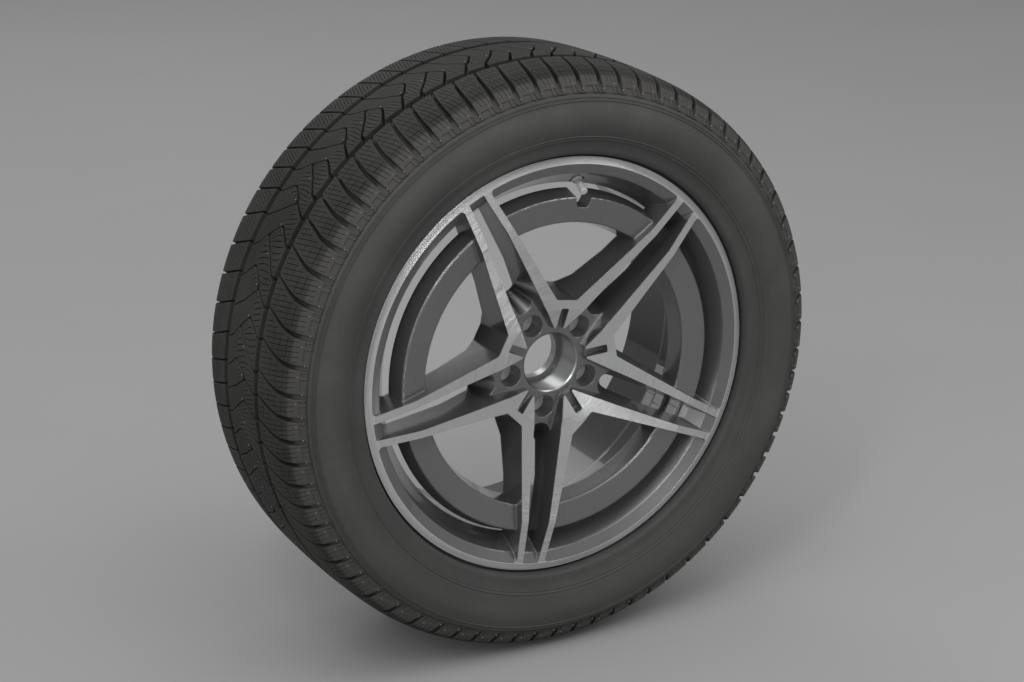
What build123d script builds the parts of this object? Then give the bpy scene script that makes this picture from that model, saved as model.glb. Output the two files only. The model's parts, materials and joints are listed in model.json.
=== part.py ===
from build123d import *
import os
from math import cos, degrees, radians, sin, sqrt, tan

os.makedirs("parts", exist_ok=True)

# Frame: millimetres, +Z up, the wheel spins about Y and its outer face looks along -Y.
# "Outboard" values are distances from the wheel's middle plane towards the outer face (-Y).

# Tyre, from its size marking 255/50 R19 and the photograph's outline.
tyre_outer_radius = 369.0
tyre_section_half_width = 133.0
tyre_section_share = 0.454
tread_crown_drop = 2.6
tread_crown_outboard = 85.0
tread_edge_drop = 12.5
tread_edge_outboard = 111.5
shoulder_middle_drop = 6.0
shoulder_middle_outboard = 100.0
buttress_drop = 22.0
buttress_outboard = 117.5
rim_guard_radius = 272.0
rim_guard_outboard = 122.0
rim_guard_half_width = 6.0
rim_gap_radius = 264.5
rim_gap_outboard = 105.0
tyre_liner_crown_drop = 15.0
tyre_liner_shoulder_drop = 19.0
tyre_liner_shoulder_outboard = 86.0
tyre_liner_side_rise = 12.0
tyre_liner_side_outboard = 120.0
tyre_liner_foot_fall = 22.0
tyre_liner_foot_outboard = 118.0
tyre_liner_bead_radius = 262.0
tyre_liner_bead_outboard = 95.0
tread_groove_outboard = 44.0
tread_groove_width = 10.0
tread_groove_depth = 8.0

# Tread pattern: grooves across the shoulders and slots in the middle, one of each to a pitch.
# Runs of short pitches and of long ones take turns round the tyre.
tread_pitch_runs = (7, 5, 9, 4, 12, 5, 6, 7, 17)
tread_short_pitch = 4.627
tread_first_angle = 113.1
cross_groove_width = 5.0
cross_groove_depth = 7.0
shoulder_groove_slant = 12.2
shoulder_groove_middle = 81.0
shoulder_groove_bend_outboard = 92.0
shoulder_groove_end_drop = 30.0
shoulder_groove_end_outboard = 126.0
rear_shoulder_shift = 0.58
middle_slot_slant = 28.5
middle_slot_ends = (13.0, -8.0, -8.0)

# Rim barrel: an 8J x 19 contour.
rim_half_width = 101.6
bead_seat_radius = 243.7
flange_height = 17.3
flange_curl_radius = 8.0
flange_edge_outboard = 112.0
flange_contact_angle = 45.0
bead_corner = 4.6
bead_toe_drop = 1.25
bead_toe_outboard = 80.9
hump_rise = 1.2
hump_outboard = 78.0
well_radius = 228.5
well_wall_outboard = 69.8
well_back_outboard = 4.0
rear_barrel_radius = 238.5
rear_barrel_outboard = -14.0
barrel_wall = 6.5
rear_throat_radius = 241.0
rear_throat_outboard = -105.0
rear_edge_radius = 255.0
lip_ring_inner_radius = 252.4
lip_ring_inner_outboard = 115.0
lip_step_radius = 239.5
lip_step_outboard = 108.0
step_foot_radius = 227.0
step_foot_outboard = 87.0
well_inner_edge_outboard = 79.0

# Spokes: the machined front face and the cast back, as cones round the axle.
wheel_turn = 44.7
pair_count = 5
face_tip_radius = 46.0
face_tip_outboard = 100.3
face_hub_radius = 71.3
face_hub_outboard = 106.8
face_crease_radius = 196.6
face_crease_outboard = 120.3
spoke_root_radius = 246.0
spoke_root_outboard = 104.0
spoke_foot_radius = 236.0
spoke_foot_outboard = 90.0
spoke_back_radius = 228.0
spoke_back_outboard = 84.0
spoke_bend_radius = 150.0
spoke_bend_outboard = 78.5
spoke_curve_radius = 108.0
spoke_curve_outboard = 68.5
spoke_hub_radius = 80.0
spoke_hub_outboard = 44.0

# Cutters between the spokes are drawn on a plane in front of the face and narrow towards the back.
cut_front_outboard = 122.0

# Windows between two spoke pairs; half widths are of the spoke pair beside the window.
window_back_outboard = 40.0
window_draft = 9.5
window_outer_along = 243.0
window_outer_half = 19.2
window_inner_along = 80.0
window_inner_half = 34.5
window_end_radius = 80.5
window_rim_radius = 254.0
window_outer_corner = 6.0
window_inner_corner = 5.0

# Channel between the two spokes of a pair, open to the back as a long slot.
channel_back_outboard = 58.0
channel_outer_along = 262.0
channel_front_outer_half = 10.7
channel_front_inner_half = 24.6
channel_front_inner_along = 55.0
channel_front_corner = 22.0
channel_back_outer_half = 4.0
channel_back_inner_half = 6.2
channel_back_inner_along = 102.0
channel_back_corner = 5.6

# Pocket round each bolt hole, down to the hub's front plane.
pocket_draft = 13.0
pocket_outer_along = 98.0
pocket_outer_half = 21.0
pocket_inner_along = 30.0
pocket_inner_half = 26.8

# Notch in the inner end of each face between two pockets.
face_notch_half_width = 5.2
face_notch_radius = 72.0
face_notch_outboard = 94.5
face_notch_corner = 2.0

# Ring that ties the spoke pairs together.
ring_front_outer_radius = 210.5
ring_front_outer_outboard = 111.0
ring_rear_outer_radius = 217.8
ring_rear_outer_outboard = 88.3
ring_rear_inner_radius = 174.0
ring_rear_inner_outboard = 82.5
ring_front_inner_radius = 179.4
ring_front_inner_outboard = 107.4
ring_edge_round = 2.5
valve_notch_radius = 198.0
valve_notch_outer_radius = 225.0
valve_notch_half_width = 7.5
valve_notch_outer_half_width = 15.0
valve_notch_corner = 5.0

# Hub.
mounting_face_outboard = 35.0
hub_radius = 78.0
hub_front_outboard = 91.5
hub_pad_radius = 74.0
hub_pad_height = 5.0
hub_bore_radius = 33.3
cap_recess_radius = 38.2
cap_recess_outboard = 46.5
cap_lip_radius = 36.2
cap_lip_depth = 4.0
cap_groove_radius = 39.4
cap_groove_width = 3.0
hub_front_chamfer = 1.5
bolt_circle_radius = 56.0
bolt_hole_radius = 7.5
bolt_pocket_radius = 13.8
bolt_seat_outboard = 66.0
bolt_seat_depth = 7.0

# Valve: its axis leans from the radius towards the outer face.
valve_angle = 80.7
valve_seat_radius = 231.0
valve_seat_outboard = 82.0
valve_lean = 61.6
valve_spot_radius = 9.5
valve_spot_reach = 34.0
valve_wall = 9.0
valve_inner_spot_radius = 8.3
valve_inner_spot_reach = 8.0
valve_hole_radius = 5.8
stem_radius = 3.85
stem_foot_radius = 7.4
stem_foot_thickness = 5.5
stem_length = 27.6
stem_bore_radius = 1.75
stem_core_bore_radius = 2.55
stem_core_bore_depth = 19.0
stem_air_hole_radius = 0.7
stem_air_hole_drop = 0.9
grommet_radius = 8.0
grommet_thickness = 2.6
washer_radius = 8.0
washer_thickness = 1.4
nut_sides = 6
nut_across_flats = 11.6
nut_height = 7.6
nut_collar_radius = 6.6
nut_collar_height = 1.6
nut_chamfer = 0.8
cap_radius = 4.75
cap_bore_radius = 3.9
cap_length = 12.4
cap_top_thickness = 1.6
cap_edge_round = 0.6
cap_seal_thickness = 0.9
cap_seal_radius = 3.7
core_body_length = 9.6
core_body_top_drop = 3.4
core_body_bore_radius = 0.78
core_packing_inner_radius = 1.9
core_packing_width = 1.5
core_packing_drop = 4.0
pin_radius = 0.7
pin_top_drop = 0.8
pin_head_radius = 1.0
pin_head_thickness = 0.9
pin_disc_radius = 2.3
pin_disc_thickness = 0.7
core_seal_radius = 2.1
core_seal_thickness = 0.5
pin_tail = 1.6
spring_wire_radius = 0.25
spring_wire_sides = 8
spring_coil_radius = 2.1
spring_turns = 4
sensor_length = 46.0
sensor_depth = 18.0
sensor_height = 13.0
sensor_edge = 3.0
screw_head_radius = 3.4
screw_head_height = 2.4
screw_shank_radius = 1.6
screw_grip = 3.0

# Stick-on balance weights inside the barrel.
weight_angle = -27.0
weight_segment_length = 18.0
weight_segment_gap = 1.2
weight_segment_groove = 2.6
weight_height = 4.2
weight_tape = 0.8
weight_seat_gap = 0.2
weight_row_outboards = {"outer": 76.0, "middle": 43.0, "inner": 23.5}
weight_row_segments = {"outer": 4, "middle": 3, "inner": 4}
weight_row_width = 18.5
weight_corner = 1.2

flange_radius = bead_seat_radius + flange_height
tread_long_pitch = (360 - sum(tread_pitch_runs[::2]) * tread_short_pitch) / sum(tread_pitch_runs[1::2])
tyre_section_radius = flange_radius + tyre_section_share * (tyre_outer_radius - flange_radius)
tread_edge_radius = tyre_outer_radius - tread_edge_drop
tyre_liner_shoulder_radius = tyre_outer_radius - tyre_liner_shoulder_drop
well_inner_radius = well_radius - barrel_wall
rear_inner_radius = rear_barrel_radius - barrel_wall
pair_step = 360 / pair_count
same_point = 0.001
quarter_turn = 90


def at(radius, outboard):
    """A point of a turned outline: the radius along X, the outboard distance along -Y."""
    return (radius, -outboard)


def outline_face(*edges):
    """A flat face bounded by the given edges, which join end to end."""
    return make_face(Curve() + list(edges))


def polygon(points, corner=0, corner_points=()):
    """A flat polygon; the listed points, or all of them, get a round corner."""
    face = make_face(Polyline(*points, close=True))
    if corner:
        near = [Vector(*p) for p in (corner_points or points)]
        chosen = [v for v in face.vertices() if min((Vector(*v) - n).length for n in near) < same_point]
        face = fillet(chosen, corner)
    return face


def turned(face):
    """The solid that a section face makes when it is turned about the axle."""
    return revolve(face, Axis.Y)


def disc_plane(outboard):
    """A plane across the axle, seen from the outer face."""
    return Plane.XZ.offset(outboard)


def turn_to(angle):
    """Turns a piece that points up so that it points at the given angle of the wheel."""
    return Rot(0, 90 - angle, 0)


def around(piece, first_angle):
    """Copies of a piece that points up, one for each spoke pair."""
    return [turn_to(first_angle + pair_step * k) * piece for k in range(pair_count)]


def drafted(front, front_outboard, back, back_outboard):
    """A cutter whose outline changes evenly from a front plane to a back plane."""
    return loft([disc_plane(front_outboard) * front, disc_plane(back_outboard) * back], ruled=True)


def cylinder_between(radius, low, high):
    """A cylinder along the local Z axis from one height to another."""
    return Pos(0, 0, (low + high) / 2) * Cylinder(radius, high - low)


def tube_between(radius, bore, low, high):
    """A tube along the local Z axis from one height to another."""
    return cylinder_between(radius, low, high) - cylinder_between(bore, low, high)


def curl_point(side, angle):
    """A point of the flange's curl, at an angle from its foot on the bead's face."""
    foot = flange_radius - flange_curl_radius
    radius = foot + flange_curl_radius * sin(radians(angle))
    return at(radius, side * (rim_half_width + flange_curl_radius * (1 - cos(radians(angle)))))


def flange_curl(side, angle):
    """The flange's curl on one side, from an angle down to its foot."""
    return ThreePointArc(curl_point(side, angle), curl_point(side, angle / 2), curl_point(side, 0))


def bead_toe(side):
    """The inner end of one bead seat."""
    return at(bead_seat_radius - bead_toe_drop, side * bead_toe_outboard)


def bead_seat(side):
    """The rim's contour under one tyre bead, from the curl's foot to the toe."""
    return Polyline(
        curl_point(side, 0),
        at(bead_seat_radius + bead_corner, side * rim_half_width),
        at(bead_seat_radius, side * (rim_half_width - bead_corner)),
        bead_toe(side),
    )


def barrel_section():
    """The rim's section: lip and step in front, drop centre, rear flange."""
    hump_radius = bead_seat_radius - bead_toe_drop + hump_rise
    outside = Polyline(
        bead_toe(1),
        at(hump_radius, hump_outboard),
        at(well_radius, well_wall_outboard),
        at(well_radius, well_back_outboard),
        at(rear_barrel_radius, rear_barrel_outboard),
        at(rear_barrel_radius, hump_radius - rear_barrel_radius - hump_outboard),
        at(hump_radius, -hump_outboard),
        bead_toe(-1),
    )
    inside = Polyline(
        curl_point(-1, quarter_turn),
        at(flange_radius, -flange_edge_outboard),
        at(rear_edge_radius, -flange_edge_outboard),
        at(rear_throat_radius, rear_throat_outboard),
        at(rear_inner_radius, rear_throat_outboard + rear_throat_radius - rear_inner_radius),
        at(rear_inner_radius, rear_barrel_outboard - barrel_wall / 2),
        at(well_inner_radius, well_back_outboard - barrel_wall / 2),
        at(well_inner_radius, well_inner_edge_outboard),
        at(step_foot_radius, step_foot_outboard),
        at(lip_step_radius, lip_step_outboard),
        at(lip_ring_inner_radius, lip_ring_inner_outboard),
        at(flange_radius, flange_edge_outboard),
        curl_point(1, quarter_turn),
    )
    front_curl = flange_curl(1, quarter_turn)
    rear_curl = flange_curl(-1, quarter_turn)
    return outline_face(front_curl, bead_seat(1), outside, bead_seat(-1), rear_curl, inside)


def spoke_disc_section():
    """The full disc the spokes are cut from: machined front, hollowed back."""
    return polygon(
        [
            at(face_tip_radius, spoke_hub_outboard),
            at(face_tip_radius, face_tip_outboard),
            at(face_hub_radius, face_hub_outboard),
            at(face_crease_radius, face_crease_outboard),
            at(lip_ring_inner_radius, lip_ring_inner_outboard),
            at(spoke_root_radius, spoke_root_outboard),
            at(spoke_foot_radius, spoke_foot_outboard),
            at(spoke_back_radius, spoke_back_outboard),
            at(spoke_bend_radius, spoke_bend_outboard),
            at(spoke_curve_radius, spoke_curve_outboard),
            at(spoke_hub_radius, spoke_hub_outboard),
        ]
    )


def window_side(inset):
    """The straight side of a window, drawn in by an inset, as x = start + slope * y."""
    half_step = radians(pair_step / 2)
    taper = (window_inner_half - window_outer_half) / (window_outer_along - window_inner_along)
    points = []
    for along in (window_outer_along, window_inner_along):
        half = window_outer_half + taper * (window_outer_along - along) + inset * sqrt(1 + taper**2)
        x = along * sin(half_step) - half * cos(half_step)
        y = along * cos(half_step) + half * sin(half_step)
        points.append((x, y))
    (outer_x, outer_y), (inner_x, inner_y) = points
    slope = (outer_x - inner_x) / (outer_y - inner_y)
    return inner_x - slope * inner_y, slope


def window_outline(inset):
    """The opening between two spoke pairs, pointing up, drawn in by an inset on every side."""
    start, slope = window_side(inset)
    rim_radius = window_rim_radius - inset
    spread = 1 + slope**2
    end_y = window_end_radius + inset
    end_x = start + slope * end_y
    rim_y = (sqrt(spread * rim_radius**2 - start**2) - start * slope) / spread
    rim_x = start + slope * rim_y
    face = outline_face(
        Line((-end_x, end_y), (end_x, end_y)),
        Line((end_x, end_y), (rim_x, rim_y)),
        ThreePointArc((rim_x, rim_y), (0, rim_radius), (-rim_x, rim_y)),
        Line((-rim_x, rim_y), (-end_x, end_y)),
    )
    face = fillet(face.vertices().sort_by(Axis.Y)[2:], window_outer_corner)
    return fillet(face.vertices().sort_by(Axis.Y)[:2], window_inner_corner)


def channel_outline(outer_half, inner_half, inner_along, corner):
    """The channel between two spokes, pointing up: a long wedge with a round inner end."""
    points = [
        (-inner_half, inner_along),
        (inner_half, inner_along),
        (outer_half, channel_outer_along),
        (-outer_half, channel_outer_along),
    ]
    return polygon(points, corner, points[:2])


def window_cutter():
    """One window, with the draft of a casting."""
    inset = (cut_front_outboard - window_back_outboard) * tan(radians(window_draft))
    return drafted(window_outline(0), cut_front_outboard, window_outline(inset), window_back_outboard)


def channel_cutter():
    """One channel between the spokes of a pair."""
    front = channel_outline(
        channel_front_outer_half, channel_front_inner_half, channel_front_inner_along, channel_front_corner
    )
    back = channel_outline(
        channel_back_outer_half, channel_back_inner_half, channel_back_inner_along, channel_back_corner
    )
    return drafted(front, cut_front_outboard, back, channel_back_outboard)


def pocket_cutter():
    """One pocket round a bolt hole, open towards the hub and the channel."""
    depth = cut_front_outboard - hub_front_outboard
    narrowing = depth * tan(radians(pocket_draft))
    outlines = []
    for inset in (0, narrowing):
        outlines.append(
            polygon(
                [
                    (-pocket_inner_half + inset, pocket_inner_along),
                    (pocket_inner_half - inset, pocket_inner_along),
                    (pocket_outer_half - inset, pocket_outer_along),
                    (-pocket_outer_half + inset, pocket_outer_along),
                ]
            )
        )
    return drafted(outlines[0], cut_front_outboard, outlines[1], hub_front_outboard)


def ring_section():
    """The section of the ring, its two front edges round."""
    face = polygon(
        [
            at(ring_front_outer_radius, ring_front_outer_outboard),
            at(ring_rear_outer_radius, ring_rear_outer_outboard),
            at(ring_rear_inner_radius, ring_rear_inner_outboard),
            at(ring_front_inner_radius, ring_front_inner_outboard),
        ]
    )
    return fillet(face.vertices().sort_by(Axis.Y)[:2], ring_edge_round)


def valve_notch():
    """The clearance in the ring in front of the valve, pointing up."""
    points = [
        (-valve_notch_half_width, valve_notch_radius),
        (valve_notch_half_width, valve_notch_radius),
        (valve_notch_outer_half_width, valve_notch_outer_radius),
        (-valve_notch_outer_half_width, valve_notch_outer_radius),
    ]
    face = polygon(points, valve_notch_corner, points[:2])
    return extrude(disc_plane(window_back_outboard) * face, cut_front_outboard - window_back_outboard)


def face_notch():
    """The notch in the inner end of a face between two pockets, pointing up."""
    points = [
        (-face_notch_half_width, hub_bore_radius),
        (face_notch_half_width, hub_bore_radius),
        (face_notch_half_width, face_notch_radius),
        (-face_notch_half_width, face_notch_radius),
    ]
    face = polygon(points, face_notch_corner, points[2:])
    return extrude(disc_plane(face_notch_outboard) * face, cut_front_outboard - face_notch_outboard)


def hub_cutter():
    """The stepped hole through the hub: cap recess with its snap groove, then the bore."""
    groove_top = hub_front_outboard - cap_lip_depth
    return turned(
        polygon(
            [
                at(0, mounting_face_outboard - hub_pad_height),
                at(hub_bore_radius, mounting_face_outboard - hub_pad_height),
                at(hub_bore_radius, cap_recess_outboard),
                at(cap_recess_radius, cap_recess_outboard),
                at(cap_recess_radius, groove_top - cap_groove_width),
                at(cap_groove_radius, groove_top - cap_groove_width),
                at(cap_groove_radius, groove_top),
                at(cap_lip_radius, groove_top),
                at(cap_lip_radius, hub_front_outboard - hub_front_chamfer),
                at(cap_lip_radius + hub_front_chamfer, hub_front_outboard),
                at(cap_lip_radius + hub_front_chamfer, cut_front_outboard),
                at(0, cut_front_outboard),
            ]
        )
    )


def bolt_cutter():
    """One bolt hole with its cone seat and pocket, on the vertical line above the axle."""
    section = polygon(
        [
            at(0, mounting_face_outboard - hub_pad_height),
            at(bolt_hole_radius, mounting_face_outboard - hub_pad_height),
            at(bolt_hole_radius, bolt_seat_outboard - bolt_seat_depth),
            at(bolt_pocket_radius, bolt_seat_outboard),
            at(bolt_pocket_radius, cut_front_outboard),
            at(0, cut_front_outboard),
        ]
    )
    return Pos(0, 0, bolt_circle_radius) * turned(section)


def hub_body():
    """The hub's boss, with a stepped mounting pad behind."""
    return turned(
        polygon(
            [
                at(0, mounting_face_outboard),
                at(hub_pad_radius, mounting_face_outboard),
                at(hub_radius, mounting_face_outboard + hub_pad_height),
                at(hub_radius, hub_front_outboard),
                at(0, hub_front_outboard),
            ]
        )
    )


lean = radians(valve_lean)
turn = radians(valve_angle)
valve_inward = cos(lean)
valve_outward = sin(lean)
valve_plane = Plane(
    origin=(valve_seat_radius * cos(turn), -valve_seat_outboard, valve_seat_radius * sin(turn)),
    x_dir=(-sin(turn), 0, cos(turn)),
    z_dir=(-valve_inward * cos(turn), -valve_outward, -valve_inward * sin(turn)),
)


def build_wheel():
    """The cast wheel in one piece."""
    barrel = turned(barrel_section())
    barrel -= valve_plane * cylinder_between(valve_spot_radius, 0, valve_spot_reach)
    inner_end = -valve_wall - valve_inner_spot_reach
    barrel -= valve_plane * cylinder_between(valve_hole_radius, inner_end, valve_spot_reach)
    barrel -= valve_plane * cylinder_between(valve_inner_spot_radius, inner_end, -valve_wall)
    spokes = turned(spoke_disc_section())
    spokes -= around(window_cutter(), wheel_turn + pair_step / 2)
    ring = turned(ring_section())
    ring -= turn_to(valve_angle) * valve_notch()
    body = spokes + hub_body() + ring
    body -= around(pocket_cutter(), wheel_turn)
    body -= around(channel_cutter(), wheel_turn)
    body -= around(face_notch(), wheel_turn + pair_step / 2)
    body -= around(bolt_cutter(), wheel_turn)
    body -= hub_cutter()
    return body + barrel


def tyre_side(side):
    """One side of the tyre's section, from the tread's edge down to the bead and back up the liner."""
    tread_edge = at(tread_edge_radius, side * tread_edge_outboard)
    buttress = at(tyre_outer_radius - buttress_drop, side * buttress_outboard)
    guard_head = at(rim_guard_radius + rim_guard_half_width, side * rim_guard_outboard)
    return [
        ThreePointArc(
            at(tyre_outer_radius - tread_crown_drop, side * tread_crown_outboard),
            at(tyre_outer_radius - shoulder_middle_drop, side * shoulder_middle_outboard),
            tread_edge,
        ),
        Line(tread_edge, buttress),
        ThreePointArc(buttress, at(tyre_section_radius, side * tyre_section_half_width), guard_head),
        Polyline(
            guard_head,
            at(rim_guard_radius - rim_guard_half_width, side * rim_guard_outboard),
            at(rim_gap_radius, side * rim_gap_outboard),
            curl_point(side, flange_contact_angle),
        ),
        flange_curl(side, flange_contact_angle),
        bead_seat(side),
        Polyline(
            bead_toe(side),
            at(tyre_liner_bead_radius, side * tyre_liner_bead_outboard),
            at(tyre_section_radius - tyre_liner_foot_fall, side * tyre_liner_foot_outboard),
            at(tyre_section_radius + tyre_liner_side_rise, side * tyre_liner_side_outboard),
            at(tyre_liner_shoulder_radius, side * tyre_liner_shoulder_outboard),
        ),
    ]


def tread_groove(middle):
    """A groove round the tread, turned about the axle."""
    low = middle - tread_groove_width / 2
    high = middle + tread_groove_width / 2
    floor = tyre_outer_radius - tread_groove_depth
    top = tyre_outer_radius + tread_groove_depth
    return turned(polygon([at(floor, low), at(floor, high), at(top, high), at(top, low)]))


def pitch_angles():
    """The angles at which the pitches of the tread start, and the one that closes the turn."""
    angles = [tread_first_angle]
    for run, count in enumerate(tread_pitch_runs):
        step = tread_long_pitch if run % 2 else tread_short_pitch
        angles += [angles[-1] + step * (k + 1) for k in range(count)]
    return angles


def cross_cutter(section, middle, slant):
    """A groove across the tread, pointing up, from (outboard, radius) points; it leans about its middle."""
    face = Plane.YZ * polygon([(-outboard, radius) for outboard, radius in section])
    cutter = extrude(face, cross_groove_width / 2, both=True)
    return Pos(0, -middle, 0) * Rot(0, 0, -slant) * Pos(0, middle, 0) * cutter


def shoulder_groove(side):
    """A groove from the one round the tread, over the shoulder, to the sidewall."""
    floor = tyre_outer_radius - cross_groove_depth
    top = tyre_outer_radius + cross_groove_depth
    section = [
        (side * tread_groove_outboard, floor),
        (side * shoulder_groove_bend_outboard, floor),
        (side * shoulder_groove_end_outboard, tyre_outer_radius - shoulder_groove_end_drop),
        (side * shoulder_groove_end_outboard, top),
        (side * tread_groove_outboard, top),
    ]
    return cross_cutter(section, side * shoulder_groove_middle, side * shoulder_groove_slant)


def middle_slot(end):
    """A slot from the outer groove round the tread towards the middle."""
    floor = tyre_outer_radius - cross_groove_depth
    top = tyre_outer_radius + cross_groove_depth
    section = [(tread_groove_outboard, floor), (tread_groove_outboard, top), (end, top), (end, floor)]
    return cross_cutter(section, tread_groove_outboard, middle_slot_slant)


def tread_pattern():
    """All grooves across the tread."""
    outer_groove = shoulder_groove(1)
    rear_groove = shoulder_groove(-1)
    slots = [middle_slot(end) for end in middle_slot_ends]
    angles = pitch_angles()
    cutters = []
    for number, (angle, after) in enumerate(zip(angles, angles[1:])):
        cutters.append(turn_to(angle) * outer_groove)
        cutters.append(turn_to(angle + rear_shoulder_shift * (after - angle)) * rear_groove)
        cutters.append(turn_to(angle) * slots[(number + 1) % len(slots)])
    return cutters


def build_tyre():
    """The tyre: patterned tread with two grooves round it, sidewalls, beads on the rim's seats."""
    belt = tyre_outer_radius - tread_crown_drop
    tread = ThreePointArc(
        at(belt, -tread_crown_outboard), at(tyre_outer_radius, 0), at(belt, tread_crown_outboard)
    )
    roof = ThreePointArc(
        at(tyre_liner_shoulder_radius, -tyre_liner_shoulder_outboard),
        at(tyre_outer_radius - tyre_liner_crown_drop, 0),
        at(tyre_liner_shoulder_radius, tyre_liner_shoulder_outboard),
    )
    tyre = turned(outline_face(tread, *tyre_side(1), roof, *tyre_side(-1)))
    tyre -= tread_groove(tread_groove_outboard)
    tyre -= tread_groove(-tread_groove_outboard)
    return tyre - tread_pattern()


def weight_strip(row):
    """One row of stick-on weights and its tape: segments joined by thin webs."""
    outer_edge = weight_row_outboards[row]
    inner_edge = outer_edge - weight_row_width
    tape_radius = well_inner_radius - weight_seat_gap
    face_radius = tape_radius - weight_tape
    step = (weight_segment_length + weight_segment_gap) / well_inner_radius
    span = degrees(step * weight_row_segments[row])
    metal = polygon(
        [
            at(face_radius, inner_edge),
            at(face_radius, outer_edge),
            at(face_radius - weight_height, outer_edge),
            at(face_radius - weight_height, inner_edge),
        ],
        weight_corner,
        [at(face_radius - weight_height, outer_edge), at(face_radius - weight_height, inner_edge)],
    )
    tape = polygon(
        [
            at(tape_radius, inner_edge),
            at(tape_radius, outer_edge),
            at(face_radius, outer_edge),
            at(face_radius, inner_edge),
        ]
    )
    first = Rot(0, -(weight_angle - span / 2), 0)
    strip = first * revolve(metal, Axis.Y, -span)
    for k in range(1, weight_row_segments[row]):
        middle = weight_angle - span / 2 + span * k / weight_row_segments[row]
        groove = Pos(face_radius - weight_height, -(inner_edge + outer_edge) / 2, 0) * Box(
            2 * weight_segment_groove, weight_row_width * 2, weight_segment_gap
        )
        strip -= Rot(0, -middle, 0) * groove
    return strip, first * revolve(tape, Axis.Y, -span)


foot_top = -valve_wall - grommet_thickness
foot_low = foot_top - stem_foot_thickness
core_top = stem_length - core_body_top_drop
core_low = core_top - core_body_length
spring_low = stem_length - stem_core_bore_depth
seal_low = core_low - core_seal_thickness
spring_top = seal_low - pin_disc_thickness
packing_top = core_top - core_packing_drop
packing_low = packing_top - core_packing_width


def build_stem():
    """The valve stem: a foot inside the rim, a bore for the core and a cross hole for the air."""
    stem = cylinder_between(stem_radius, foot_low, stem_length)
    stem += cylinder_between(stem_foot_radius, foot_low, foot_top)
    stem -= cylinder_between(stem_bore_radius, foot_top - stem_air_hole_drop, stem_length)
    stem -= cylinder_between(stem_core_bore_radius, spring_low, stem_length)
    air_hole = Rot(90, 0, 0) * Cylinder(stem_air_hole_radius, 2 * stem_foot_radius)
    stem -= Pos(0, 0, foot_top - stem_air_hole_drop) * air_hole
    stem -= cylinder_between(screw_shank_radius, foot_low, foot_low + screw_grip)
    return stem


def build_grommet():
    """The rubber seal: a flange inside the rim and a sleeve in the valve hole."""
    grommet = tube_between(grommet_radius, stem_radius, foot_top, -valve_wall)
    return grommet + tube_between(valve_hole_radius, stem_radius, -valve_wall, 0)


def build_nut():
    """The hexagon nut with a round collar at its foot and a turned-down top."""
    nut_top = washer_thickness + nut_height
    outline = RegularPolygon(nut_across_flats / 2, nut_sides, major_radius=False)
    body = Pos(0, 0, washer_thickness) * extrude(outline, nut_height)
    body += cylinder_between(nut_collar_radius, washer_thickness, washer_thickness + nut_collar_height)
    limit = cylinder_between(nut_collar_radius, washer_thickness, nut_top - nut_chamfer)
    top = Cone(nut_collar_radius, nut_collar_radius - nut_chamfer, nut_chamfer)
    limit += Pos(0, 0, nut_top - nut_chamfer / 2) * top
    return (body & limit) - cylinder_between(stem_radius, washer_thickness, nut_top)


def build_cap():
    """The screw cap, closed at the top with a round edge."""
    seal_top = stem_length + cap_seal_thickness
    cap_top = seal_top + cap_top_thickness
    cap = cylinder_between(cap_radius, cap_top - cap_length, cap_top)
    cap = fillet(cap.edges().filter_by(GeomType.CIRCLE).sort_by(Axis.Z)[-1:], cap_edge_round)
    return cap - cylinder_between(cap_bore_radius, cap_top - cap_length, seal_top)


def build_cap_seal():
    """The rubber disc inside the cap, on the stem's end."""
    return cylinder_between(cap_seal_radius, stem_length, stem_length + cap_seal_thickness)


def build_pin():
    """The core's pin: a head to press, a shaft, and the disc that carries the seal."""
    head_top = stem_length - pin_top_drop
    pin = cylinder_between(pin_radius, spring_top - pin_tail, head_top)
    pin += cylinder_between(pin_head_radius, head_top - pin_head_thickness, head_top)
    return pin + cylinder_between(pin_disc_radius, spring_top, seal_low)


def build_core_body():
    """The core's body, with a groove round it for the packing ring."""
    body = tube_between(stem_core_bore_radius, core_body_bore_radius, core_low, core_top)
    return body - build_packing()


def build_packing():
    """The packing ring that seals the core's body in the stem."""
    return tube_between(stem_core_bore_radius, core_packing_inner_radius, packing_low, packing_top)


def build_spring():
    """The coil spring under the pin's disc, its wire drawn with flat sides."""
    low = spring_low + spring_wire_radius
    height = spring_top - spring_wire_radius - low
    path = Pos(0, 0, low) * Helix(height / spring_turns, height, spring_coil_radius)
    wire = Plane(path @ 0, z_dir=path % 0) * RegularPolygon(spring_wire_radius, spring_wire_sides)
    return sweep(wire, path, is_frenet=True)


def build_sensor():
    """The pressure sensor's housing, held to the stem's foot by a screw."""
    middle = foot_low - sensor_height / 2
    housing = Box(sensor_length, sensor_depth, sensor_height)
    housing = Pos(0, 0, middle) * fillet(housing.edges().filter_by(Axis.Z), sensor_edge)
    return housing - cylinder_between(screw_shank_radius, foot_low - sensor_height, foot_low)


def build_screw():
    """The screw through the sensor into the stem's foot."""
    seat = foot_low - sensor_height
    screw = cylinder_between(screw_head_radius, seat - screw_head_height, seat)
    return screw + cylinder_between(screw_shank_radius, seat, foot_low + screw_grip)


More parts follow.
